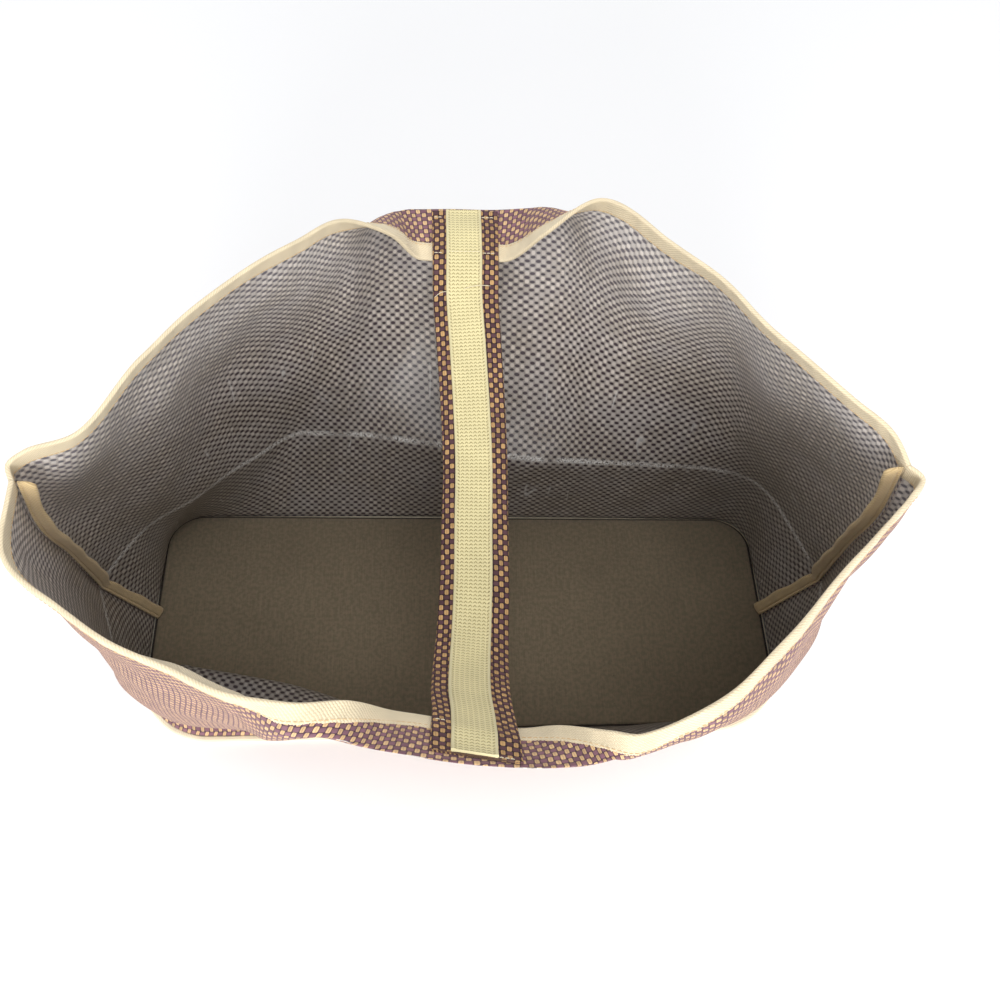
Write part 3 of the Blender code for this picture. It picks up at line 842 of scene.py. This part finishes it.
def mouth_frame(side, depth):
    """Points, outward and upward directions of a panel's cloth just below its edge."""
    shares = np.linspace(0, 1, TAPE_COLUMNS + 1)
    heights = [WALL_HEIGHT - depth, WALL_HEIGHT - depth / 2, WALL_HEIGHT]
    points, normals = cloth(side, shares, heights)
    return points, normals, unit(points[2] - points[0])


def make_mouth_binding(name, side, made):
    """Tape folded over the mouth's edge, its own edges slightly uneven."""
    points, normals, up = mouth_frame(side, MOUTH_TAPE_INNER)
    top, top_out = points[2], normals[2]
    runs = run_along(top)
    shares = np.linspace(0, 1, TAPE_COLUMNS + 1)
    flare = smooth_step((shares - TAPE_FLARE_FROM) / TAPE_FLARE_EASE)
    flare = flare * smooth_step((TAPE_FLARE_TO - shares) / TAPE_FLARE_EASE)
    flare = (side == FRONT) * TAPE_FLARE * flare
    outside = MOUTH_TAPE_FROM_MIDDLE + MOUTH_TAPE
    ragged = 0.28 * np.sin(runs * 2 * pi / 1.9) + 0.25 * np.sin(runs / 5.3) + 0.2 * np.sin(runs / 2.1 + 1)
    puffed = 0.22 * np.sin(runs / 3.7) + 0.18 * np.sin(runs / 1.9 + 2)
    sections, linings = [], []
    for face, reach in ((1, MOUTH_TAPE_OUTER / MOUTH_TAPE_INNER), (-1, 1.0)):
        leg = []
        for share in (0.0, 0.06, 0.3, 0.6, 0.85, 1.0):
            place = [1 - (1 - share) * reach]
            base, out = (
                smooth_curve((0, 0.5, 1), rows.reshape(3, -1), place).reshape(-1, 3)
                for rows in (points, normals)
            )
            out = unit(out)
            proud = outside - 0.3 * (share == 0) + puffed * sin(pi * share)
            proud = proud + flare * (face < 0) * (1 - share) ** 1.5
            drop = ragged * (1 - share) * face
            leg.append(base + out * face * proud[:, None] + up * drop[:, None])
            if share in (0.0, 1.0):
                lining = base + out * face * (proud - MOUTH_TAPE)[:, None] + up * drop[:, None]
                linings.append(lining + up * GAP * share)
        sections += leg if face > 0 else leg[::-1]
        if face > 0:
            for turn in np.linspace(0, pi, 8)[1:-1]:
                rise = (GAP + MOUTH_TAPE + 0.1) * sin(turn)
                sections.append(top + top_out * outside * cos(turn) + up * rise)
    sections += [linings[2], linings[3], linings[1], linings[0]]
    return replacing(add_loft(name, np.stack(sections, axis=1), [made]), name)


def make_seam_binding(name, share, made):
    """The bound seam allowance inside a side seam, turned to the back more and more towards its foot."""
    heights = np.linspace(SEAM_TAPE_FROM, SEAM_TAPE_TO, SEAM_ROWS)
    points = plain_wall(BACK, [share], heights)[:, 0]
    along = unit(np.gradient(points, axis=0))
    runs = run_along(points)
    inward = -outward(share, BACK)
    inward = unit(inward - along * (along @ inward)[:, None])
    backward = np.cross(along, inward)
    backward = backward * np.sign(backward[:, 1:2])
    turns = np.radians(np.interp(heights, *zip(*SEAM_TAPE_TURNS)) + 6 * np.sin(runs / 52 + 0.6))[:, None]
    flat = inward * np.cos(turns) + backward * np.sin(turns)
    face = backward * np.cos(turns) - inward * np.sin(turns)
    swell = 1 + 0.07 * np.sin(runs / 17) + 0.05 * np.sin(runs / 6.1 + 1)
    swell = swell * (0.45 + 0.55 * np.sqrt(np.clip(np.minimum(runs, runs[-1] - runs) / 4, 0, 1)))
    waist = 1 - 0.18 * np.exp(-(((runs - CREASE_HEIGHT) / 7) ** 2))
    root = points + inward * SEAM_TAPE_STAND_OFF
    sections = []
    for across, up in rounded_section(SEAM_TAPE_WIDTH, SEAM_TAPE_THICKNESS, steps=7):
        groove = 1 - 0.5 * np.exp(-(((across - SEAM_GROOVE_AT) / SEAM_GROOVE_WIDTH) ** 2))
        reach = (across + SEAM_TAPE_WIDTH / 2) * swell * waist
        sections.append(root + flat * reach[:, None] + face * (up * groove * swell / waist)[:, None])
    sections = np.stack(sections, axis=1)
    sections[..., 2] = np.maximum(sections[..., 2], FOOT_Z + BOARD + 0.8)
    return replacing(add_loft(name, sections, [made]), name)


def base_outline(offset, steps):
    """The base's whole outline, counter-clockwise seen from above."""
    outline = []
    for side in (FRONT, BACK):
        corner, width = BASE_CORNERS[side], panel_width(side)
        flat, turned = BASE_DEPTH / 2 - corner, BASE_DEPTH / 2 - corner + corner * pi / 2
        half = [np.linspace(0, flat, steps // 3)[:-1], np.linspace(flat, turned, steps + 1)]
        half = np.concatenate([*half, np.linspace(turned, width / 2, steps)[1:]])
        shares = [*(half / width), *(1 - half[-2::-1] / width)]
        outline += [half_outline(share, side, offset) for share in shares[::-side]][:-1]
    return np.array(outline)


def make_plate(name, levels, made, wave=0.0):
    """A flat piece of the base's outline through (offset, z) levels, with its cloth laid flat."""
    rings = [[(x, y, z) for x, y in base_outline(offset, TURN_STEPS)] for offset, z in levels]
    rim = np.array(rings[-1])
    spine = rim * (0, 0, 1)
    spine[:, 0] = np.clip(rim[:, 0], -150, 150)
    for share in np.linspace(0, 1, 14)[1:-1]:
        ring = rim + (spine - rim) * share
        x, y = ring[:, 0], ring[:, 1]
        ripple = np.sin(x / 37 + 1) * np.sin(y / 24) + 0.6 * np.sin(x / 13 + y / 19)
        ring[:, 2] += wave * min(1, share * 6) * ripple
        rings.append(ring)
    sections = np.array(rings)
    vertices, faces, _ = loft_parts(sections)
    size = sections.shape[1]
    faces = faces.tolist() + [list(range(size - 1, -1, -1)), list(range(len(vertices) - size, len(vertices)))]
    coordinates = [vertices[corner][:2] for polygon in faces for corner in polygon]
    return replacing(add_mesh(name, vertices, faces, coordinates, [made], sharp=40), name)


def make_base_binding(name, made):
    """Tape bound over the seam allowance that lies on the floor round the base."""
    inner = base_outline(BASE_OVERHANG + GAP, 60)
    outer = base_outline(BASE_OVERHANG + GAP + BASE_TAPE_WIDTH, 60)
    out = outer - inner
    runs = run_along(np.column_stack([outer, 0 * outer[:, 0]]))
    sections = []
    for across, up in rounded_section(1.0, 1.0, steps=6, edge=0.6):
        flat = inner + out * (across + 0.5)
        height = BASE_TAPE_THICKNESS * (up + 0.5) + (0.25 * np.sin(runs / 4.3) if up > 0 else 0)
        sections.append(np.column_stack([flat, height + 0 * runs]))
    piece = add_loft(name, np.stack(sections, axis=1), [made], closed=True)
    return replacing(piece, name)


# Width of the band as it shows, by share of its length: its edges droop where nothing holds them
BAND_WIDTHS = (
    (0.0, 47), (0.12, 46), (0.3, 44.5), (0.45, 43.5), (0.62, 45), (0.78, 46.5), (0.92, 47.5), (1.0, 49)
)


def band_droop(runs, wide):
    """The band's width as it shows, and how far it hangs at a place across it."""
    widths = np.interp(runs / runs[-1], *zip(*BAND_WIDTHS))
    narrowing = np.clip((BAND_WIDTH - widths) / 2, 0, None)
    margin = max(abs(wide) - WEBBING_WIDTH / 2, 0) / (BAND_WIDTH / 2 - WEBBING_WIDTH / 2)
    return widths, -np.sqrt(narrowing * 8) * margin


def settled(runs, length):
    """How far the strap's middle sinks and how thin the band gets where it is sewn down."""
    free = smooth_step((np.minimum(runs, length - runs) - 2) / 20)
    return -HANDLE_SINK * (1 - free), 1 - HANDLE_THINNING * (1 - free)


def make_handle(path, across, face, band_made, webbing_made):
    """The doubled burlap band, and the webbing along its middle."""
    runs = run_along(path)
    sunk, thin = settled(runs, runs[-1])
    sections = []
    for wide, up in rounded_section(BAND_WIDTH, BAND, steps=5):
        widths, droop = band_droop(runs, wide)
        ripple = 0.35 * np.sin(runs / 11 + 2 * np.sign(wide)) * abs(wide) / BAND_WIDTH
        lift = up * thin + sunk + droop + ripple
        sections.append(path + across * (wide * widths / BAND_WIDTH)[:, None] + face * lift[:, None])
    band = add_loft("handle_band", np.stack(sections, axis=1), [band_made])
    replacing(band, "handle_band")

    lift = sunk + BAND / 2 * thin + WEBBING_GAP + WEBBING / 2
    section = rounded_section(WEBBING_WIDTH, WEBBING, steps=4)
    section[abs(section[:, 0]) > WEBBING_WIDTH / 2 - WEBBING, 1] *= 1.25  # corded edges
    sections = [
        path + across * (wide + WEBBING_OFFSET) + face * (lift + up)[:, None]
        for wide, up in np.roll(section, len(section) // 2, axis=0)
    ]
    webbing = add_loft("handle_webbing", np.stack(sections, axis=1), [webbing_made])
    return band, replacing(webbing, "handle_webbing")


def strap_line(path, across, face, run, start, end, lift):
    """A line across the strap at a run along it, over its face, and the way off that face."""
    runs = run_along(path)
    at = read_at(run, runs, path)
    wide, up = (unit(read_at(run, runs, line)) for line in (across, face))
    line = [at + wide * place + up * lift for place in np.linspace(start, end, 24)]
    return np.array(line), np.tile(up, (len(line), 1))


# Rows of stitches: place along the strap, from its end where below 0, and which of left, middle, right
STITCH_ROWS = ((5.5, "LR"), (38.0, "LMR"), (-28.5, "L"), (-1.2, "R"))
# Ends of thread left lying on the strap: place along it, slant, from and to across it, and height
LOOSE_THREADS = ((67, 4, -22, -13, 0.0), (63, 2, -2, 17, 2.0))


def make_handle_sewing(path, across, face, made):
    """Rows of stitches across the strap's sewn ends, and loose ends of thread."""
    length = run_along(path)[-1]
    left, right = -BAND_WIDTH / 2 + 1.5, BAND_WIDTH / 2 - 1.5
    web_left = WEBBING_OFFSET - WEBBING_WIDTH / 2
    web_right = WEBBING_OFFSET + WEBBING_WIDTH / 2
    parts = []
    # From and to across the strap, and height over the band, left, in the middle and right
    stretches = (
        (left, web_left - 0.4, 0.0),
        (web_left + 0.5, web_right - 0.5, 0.2 + WEBBING),
        (web_right + 0.4, right, 0.0),
    )
    for run, sewn in STITCH_ROWS:
        run = run if run > 0 else length + run
        sunk, thin = settled(run, length)
        for place, (start, end, higher) in zip("LMR", stretches):
            if place in sewn:
                over = sunk + BAND / 2 * thin + 0.15 + higher
                line, lifts = strap_line(path, across, face, run, start, end, over)
                parts.append(stitch_parts(line, lifts, *HANDLE_STITCH))
    for run, turned, start, end, higher in LOOSE_THREADS:
        line, lifts = strap_line(path, across, face, run, start, end, BAND / 2 + 0.4 + higher)
        bow = np.sin(np.linspace(0, pi, len(line)))
        slant = np.linspace(-0.5, 0.5, len(line))
        way = unit(np.cross(lifts[0], line[-1] - line[0]))
        line += way * (slant * turned + bow * 1.2)[:, None] + lifts * (bow * 0.5)[:, None]
        parts.append(thread_parts(line, THREAD_RADIUS))
    return add_joined("handle_stitches", parts, made)


def make_tape_sewing(name, side, made):
    """Two rows of stitches along the mouth tape, near its lower edges."""
    parts = []
    for face, leg in ((1, MOUTH_TAPE_OUTER), (-1, MOUTH_TAPE_INNER)):
        points, normals, _ = mouth_frame(side, leg - TAPE_STITCHES_UP)
        line = points[0] + normals[0] * face * (MOUTH_TAPE_FROM_MIDDLE + MOUTH_TAPE + 0.12)
        parts.append(stitch_parts(line[4:-4], normals[0][4:-4] * face, *TAPE_STITCH))
    return add_joined(name, parts, made)


# ---------------- floor, light and camera

FLOOR = 6  # metres from its middle to its edges
# Place, aim and size in metres, and power in watts
LIGHTS = {
    "key": ((0.15, -0.8, 2.2), (0, 0.05, 0.1), 1.0, 16),
    "front": ((-0.2, -1.9, 0.85), (0, 0.1, 0.25), 0.9, 22),
}
CAMERA_PLACE = (-0.0183, -0.3329, 0.787)
CAMERA_TURN = (30.3, 0, -0.4)  # degrees
CAMERA_SHIFT = (0.06, -0.01)


def add_area_light(name, place, aim, size, power):
    data = bpy.data.lights.new(name, "AREA")
    data.shape, data.size, data.energy = "DISK", size, power
    light = add_object(name, data)
    light.location = place
    light.rotation_euler = (Vector(aim) - Vector(place)).to_track_quat("-Z", "Y").to_euler()


def make_studio():
    mesh = bpy.data.meshes.new("floor")
    corners = [(x * FLOOR, y * FLOOR, 0) for x, y in ((-1, -1), (1, -1), (1, 1), (-1, 1))]
    mesh.from_pydata(corners, [], [(0, 1, 2, 3)])
    paint = bpy.data.materials.new("floor")
    paint.use_nodes = True
    shader = paint.node_tree.nodes["Principled BSDF"]
    shader.inputs["Base Color"].default_value = (0.96, 0.96, 0.96, 1)
    shader.inputs["Roughness"].default_value = 0.9
    mesh.materials.append(paint)
    add_object("floor", mesh)

    world = bpy.data.worlds.new("studio")
    bpy.context.scene.world = world
    world.use_nodes = True
    background = world.node_tree.nodes["Background"]
    background.inputs["Color"].default_value = (0.97, 0.98, 1.0, 1)
    background.inputs["Strength"].default_value = 0.85
    for name, light in LIGHTS.items():
        add_area_light(name, *light)


def make_camera():
    data = bpy.data.cameras.new("camera")
    data.sensor_width, data.lens = 36, 36
    data.shift_x, data.shift_y = CAMERA_SHIFT
    data.clip_start = 0.01
    camera = add_object("camera", data)
    camera.location = CAMERA_PLACE
    camera.rotation_euler = [radians(angle) for angle in CAMERA_TURN]
    bpy.context.scene.camera = camera
    bpy.context.scene.view_settings.view_transform = "Standard"


def main():
    make_camera()
    make_studio()
    outer = burlap_finish("burlap_outer", "e0bb8c", "835e6a", "523a45")
    inner = laminate_finish("burlap_inner")
    # The base panel is one plain dark brown: painted shade for the gap between the board and the walls' foot
    lining = thread_finish("base_panel_painted_shade", "3a322a")
    band_cloth = burlap_finish("burlap_band", "c79f6c", "5a3e44", "2c1d21", sheen=0.15)
    tape = tape_finish("tape", "eedebe", "d9c6a0", "a5744a")
    # A lighter copy of the mouth tape for the base binding: painted light, for the brightly lit binding on
    # the floor
    tape_painted_light = tape_finish("base_tape_painted_light", "fbf0d6", "efdfba", "c9a878")
    # A darker, browner copy of the mouth tape for the seam bindings: painted shade, as they stand low inside
    # the bag
    seam_tape_painted_shade = tape_finish("seam_tape_painted_shade", "d9bf90", "bb9d6c", "7d5a35")
    webbing_cloth = webbing_finish("webbing")
    board_cloth = board_finish("board_cloth")
    thread = thread_finish("thread", "e6dcc0")
    tape_thread = thread_finish("tape_thread", "d9b888")

    ends = ((BACK, "back"), (FRONT, "front"))
    panels = {side: make_panel(f"{end}_panel", side, [outer, inner]) for side, end in ends}
    bindings = {side: make_mouth_binding(f"mouth_binding_{end}", side, tape) for side, end in ends}
    sewing = {side: make_tape_sewing(f"mouth_stitches_{end}", side, tape_thread) for side, end in ends}
    seams = [
        make_seam_binding(f"seam_binding_{end}", share, seam_tape_painted_shade)
        for share, end in enumerate(("left", "right"))
    ]
    base_levels = ((BASE_OVERHANG - 3, 0), (BASE_OVERHANG, 0), (BASE_OVERHANG, BASE_PANEL))
    base_cloth = make_plate("base_panel", base_levels, lining)
    board_bottom = BASE_PANEL + GAP
    board_levels = (
        (-BOARD_INSET - 0.8, board_bottom),
        (-BOARD_INSET, board_bottom + 0.6),
        (-BOARD_INSET, board_bottom + BOARD - 1.0),
        (-BOARD_INSET - 0.4, board_bottom + BOARD - 0.3),
        (-BOARD_INSET - 1.2, board_bottom + BOARD),
    )
    board = make_plate("base_board", board_levels, board_cloth, wave=0.35)
    base_tape_painted_light = make_base_binding("base_binding", tape_painted_light)
    strap = handle_strap()
    band, webbing = make_handle(*strap, band_cloth, webbing_cloth)
    handle_sewing = make_handle_sewing(*strap, thread)

    pieces = [*panels.values(), *bindings.values(), *sewing.values(), *seams]
    for piece in (*pieces, base_cloth, board, base_tape_painted_light, band, webbing, handle_sewing):
        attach(piece, "root")


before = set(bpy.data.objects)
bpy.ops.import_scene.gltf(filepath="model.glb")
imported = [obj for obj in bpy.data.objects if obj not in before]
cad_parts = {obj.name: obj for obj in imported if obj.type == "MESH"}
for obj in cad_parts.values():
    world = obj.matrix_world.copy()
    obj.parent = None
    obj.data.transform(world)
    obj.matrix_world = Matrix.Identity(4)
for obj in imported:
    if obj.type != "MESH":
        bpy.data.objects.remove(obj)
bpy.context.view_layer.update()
main()
bpy.context.view_layer.update()
